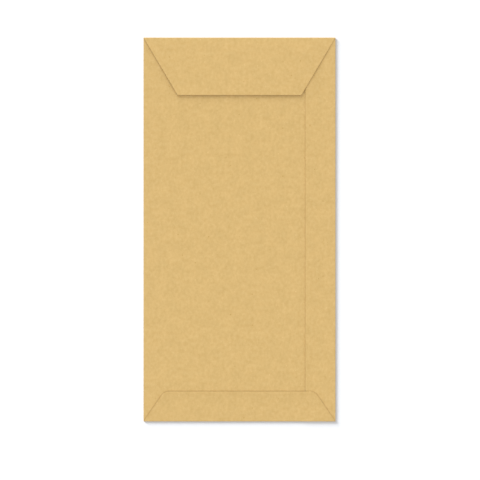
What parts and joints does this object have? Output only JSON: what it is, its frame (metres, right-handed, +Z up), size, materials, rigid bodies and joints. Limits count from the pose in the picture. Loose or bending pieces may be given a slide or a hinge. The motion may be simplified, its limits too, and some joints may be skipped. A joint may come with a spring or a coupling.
{
  "type": "kraft envelope",
  "caption": "Slim pocket envelope of folded kraft paper with a side seam, a glued bottom flap and a hinged seal flap with rounded free corners.",
  "frame": {"origin": "under the middle of the closed envelope, on the surface that its address side lies on", "axes": "+Z up through the flap side, +Y from the bottom fold to the fold of the seal flap, +X towards the side with the seam"},
  "size_m": [0.11, 0.22, 0.0013],
  "materials": {
    "kraft_paper": "uncoated matt",
    "dried_glue": "dried film",
    "dried_gum": "dried satin film"
  },
  "bodies": {
    "pocket": {"front_panel": "kraft_paper", "back_panel": "kraft_paper", "seam_flap": "kraft_paper", "bottom_flap": "kraft_paper", "left_fold": "kraft_paper", "right_fold": "kraft_paper", "bottom_fold": "kraft_paper", "mouth_fold": "kraft_paper", "seam_glue": "dried_glue", "bottom_glue": "dried_glue", "bottom_glue_on_seam": "dried_glue"},
    "flap": {"flap_fold": "kraft_paper", "seal_flap": "kraft_paper", "seal_gum": "dried_gum"}
  },
  "joints": [
    {"name": "flap_hinge", "type": "hinge", "parent": "pocket", "child": "flap", "pos_m": [0, 0.11, 0.00064], "axis": [-1, 0, 0], "range_deg": [0, 176]}
  ]
}
